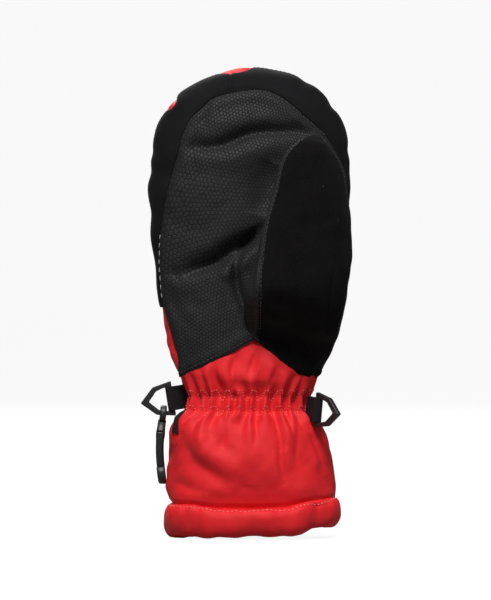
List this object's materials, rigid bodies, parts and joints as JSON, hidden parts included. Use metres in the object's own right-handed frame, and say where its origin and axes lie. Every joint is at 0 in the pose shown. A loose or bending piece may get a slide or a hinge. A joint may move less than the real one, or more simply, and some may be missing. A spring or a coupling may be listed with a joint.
{
  "type": "ski mitten",
  "caption": "Insulated ski mitten with a grip palm, a separate thumb, an elasticated wrist, a padded cuff, and rings with a snap hook for pairing.",
  "frame": {"origin": "centre of the underside of the bounding box, in the plane that the hem stands on; the cuff's open end is centred on x 4.4 mm, y 12.0 mm", "axes": "+Z from the cuff's open end to the fingertips, -Y out of the palm, +X towards the thumb"},
  "size_m": [0.131, 0.0936, 0.292],
  "materials": {
    "grip_leather": "embossed grip synthetic leather, satin",
    "softshell": "smooth stretch softshell, matt",
    "brushed_suede": "brushed synthetic suede, matt",
    "red_nylon": "fine woven nylon, slight sheen",
    "wadding": "lofted polyester wadding",
    "fleece": "brushed knit lining",
    "elastic_tape": "woven elastic tape",
    "black_webbing": "woven polyester webbing",
    "black_acetal": "moulded acetal, satin",
    "red_thread": "bonded sewing thread"
  },
  "bodies": {
    "cuff": {"cuff_front_panel": "red_nylon", "cuff_back_panel": "red_nylon", "cuff_padding": "wadding", "wrist_elastic": "elastic_tape", "cuff_lining": "fleece", "hem_binding": "red_nylon", "hem_filler": "wadding", "upper_elastic_stitching_palm": "red_thread", "upper_elastic_stitching_back": "red_thread", "lower_elastic_stitching_palm": "red_thread", "lower_elastic_stitching_back": "red_thread", "hem_stitching": "red_thread", "outer_webbing_loop": "black_webbing", "thumb_side_webbing_loop": "black_webbing"},
    "hand": {"palm_panel": "grip_leather", "finger_gusset": "softshell", "back_panel": "red_nylon", "heel_panel": "red_nylon", "hand_insulation": "wadding", "hand_liner": "fleece"},
    "thumb": {"thumb_front_panel": "brushed_suede", "thumb_back_panel": "grip_leather", "thumb_insulation": "wadding", "thumb_liner": "fleece"},
    "outer_ring": {"outer_ring": "black_acetal"},
    "thumb_side_ring": {"thumb_side_ring": "black_acetal"},
    "snap_hook": {"hook_body": "black_acetal"},
    "hook_gate": {"hook_gate": "black_acetal"}
  },
  "joints": [
    {"name": "wrist_flex", "type": "hinge", "parent": "cuff", "child": "hand", "pos_m": [0.00439, 0.01195, 0.095], "axis": [1, 0, 0], "range_deg": [-20, 20], "stiffness_Nm_per_rad": 1.5},
    {"name": "thumb_spread", "type": "hinge", "parent": "hand", "child": "thumb", "pos_m": [0.02889, -0.02805, 0.118], "axis": [0, 1, 0], "range_deg": [-8, 22], "stiffness_Nm_per_rad": 0.4},
    {"name": "outer_ring_turn", "type": "hinge", "parent": "cuff", "child": "outer_ring", "pos_m": [-0.04629, 0.01478, 0.0865], "axis": [-0.1564, 0, 0.9877], "range_deg": [-12, 12]},
    {"name": "hook_swing", "type": "hinge", "parent": "outer_ring", "child": "snap_hook", "pos_m": [-0.05127, 0.01478, 0.07705], "axis": [-0.9986, 0, 0.0523], "range_deg": [-45, 45]},
    {"name": "hook_gate_flex", "type": "hinge", "parent": "snap_hook", "child": "hook_gate", "pos_m": [-0.05192, 0.00998, 0.06457], "axis": [-0.9986, 0, 0.0523], "range_deg": [-11, 0], "stiffness_Nm_per_rad": 0.05},
    {"name": "thumb_side_ring_turn", "type": "hinge", "parent": "cuff", "child": "thumb_side_ring", "pos_m": [0.04451, -0.00545, 0.08], "axis": [0.0805, -0.0834, 0.9933], "range_deg": [-50, 50]}
  ]
}
